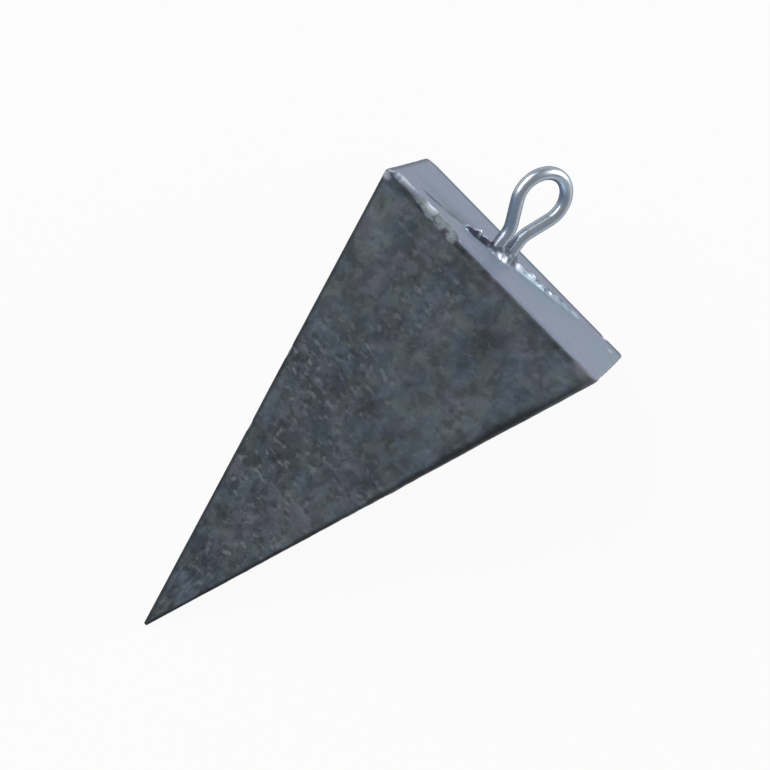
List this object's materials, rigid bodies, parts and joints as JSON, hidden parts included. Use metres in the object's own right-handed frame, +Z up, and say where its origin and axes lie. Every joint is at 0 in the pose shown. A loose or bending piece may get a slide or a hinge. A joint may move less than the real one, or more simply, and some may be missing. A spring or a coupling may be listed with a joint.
{
  "type": "fishing sinker",
  "caption": "Pyramid fishing sinker cast in lead, with a teardrop wire eye set in its flat base to take a line or a snap clip.",
  "frame": {"origin": "on the ground, under the middle of the whole sinker as it lies on one sloping face", "axes": "+X towards the wire eye, with the tip at -X; +Z up, square to the face it lies on; +Y across"},
  "size_m": [0.0532, 0.0252, 0.0243],
  "materials": {
    "lead": "cast lead, dull dark grey with fine scratches, paler on the poured base",
    "plated_wire": "bright zinc plating on drawn steel wire"
  },
  "bodies": {
    "root": {"lead_body": "lead", "wire_eye": "plated_wire"}
  },
  "joints": []
}
